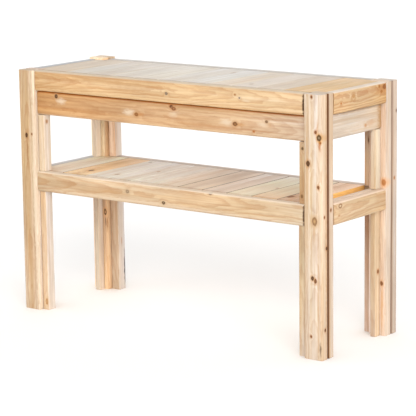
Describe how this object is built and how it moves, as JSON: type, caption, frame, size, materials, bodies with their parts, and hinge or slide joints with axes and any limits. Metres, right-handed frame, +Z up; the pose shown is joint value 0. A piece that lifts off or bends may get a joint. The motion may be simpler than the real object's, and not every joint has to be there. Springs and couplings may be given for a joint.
{
  "type": "potting bench",
  "caption": "Free-standing wooden potting bench: a framed slat worktop on four built-up legs, with a framed slat shelf at mid height.",
  "frame": {"origin": "on the floor, under the middle of the bench", "axes": "+X along the bench to the right as seen from the front, +Y from the front to the back, +Z up"},
  "size_m": [1.348, 0.475, 0.908],
  "materials": {
    "cedar_pale": "unfinished pale cedar, planed, with small knots",
    "cedar_tan": "unfinished tan cedar, planed, with knots",
    "cedar_orange": "unfinished orange-brown cedar heartwood",
    "cedar_weathered": "unfinished grey-white cedar sapwood"
  },
  "bodies": {
    "root": {"apron_back": "cedar_tan", "apron_front": "cedar_tan", "apron_left": "cedar_pale", "apron_right": "cedar_pale", "back_left_leg_end_block_lower": "cedar_tan", "back_left_leg_end_block_upper": "cedar_tan", "back_left_leg_inner_board": "cedar_pale", "back_left_leg_long_side_block_lower": "cedar_tan", "back_left_leg_long_side_block_upper": "cedar_tan", "back_left_leg_outer_board": "cedar_tan", "back_right_leg_end_block_lower": "cedar_tan", "back_right_leg_end_block_upper": "cedar_tan", "back_right_leg_inner_board": "cedar_pale", "back_right_leg_long_side_block_lower": "cedar_tan", "back_right_leg_long_side_block_upper": "cedar_tan", "back_right_leg_outer_board": "cedar_pale", "front_left_leg_end_block_lower": "cedar_tan", "front_left_leg_end_block_upper": "cedar_tan", "front_left_leg_inner_board": "cedar_pale", "front_left_leg_long_side_block_lower": "cedar_tan", "front_left_leg_long_side_block_upper": "cedar_tan", "front_left_leg_outer_board": "cedar_tan", "front_right_leg_end_block_lower": "cedar_tan", "front_right_leg_end_block_upper": "cedar_tan", "front_right_leg_inner_board": "cedar_pale", "front_right_leg_long_side_block_lower": "cedar_tan", "front_right_leg_long_side_block_upper": "cedar_tan", "front_right_leg_outer_board": "cedar_pale", "shelf_cleat_back": "cedar_pale", "shelf_cleat_front": "cedar_pale", "shelf_rail_back": "cedar_tan", "shelf_rail_front": "cedar_tan", "shelf_rail_left": "cedar_tan", "shelf_rail_right": "cedar_tan", "shelf_slat_01": "cedar_tan", "shelf_slat_02": "cedar_orange", "shelf_slat_03": "cedar_weathered", "shelf_slat_04": "cedar_weathered", "shelf_slat_05": "cedar_weathered", "shelf_slat_06": "cedar_tan", "shelf_slat_07": "cedar_tan", "shelf_slat_08": "cedar_tan", "shelf_slat_09": "cedar_tan", "shelf_slat_10": "cedar_tan", "shelf_slat_11": "cedar_tan", "top_rail_back": "cedar_tan", "top_rail_front": "cedar_tan", "top_rail_left": "cedar_tan", "top_rail_right": "cedar_tan", "top_slat_01": "cedar_weathered", "top_slat_02": "cedar_weathered", "top_slat_03": "cedar_weathered", "top_slat_04": "cedar_weathered", "top_slat_05": "cedar_weathered", "top_slat_06": "cedar_weathered", "top_slat_07": "cedar_weathered", "top_slat_08": "cedar_weathered", "top_slat_09": "cedar_weathered", "top_slat_10": "cedar_weathered", "top_slat_11": "cedar_orange"}
  },
  "joints": []
}
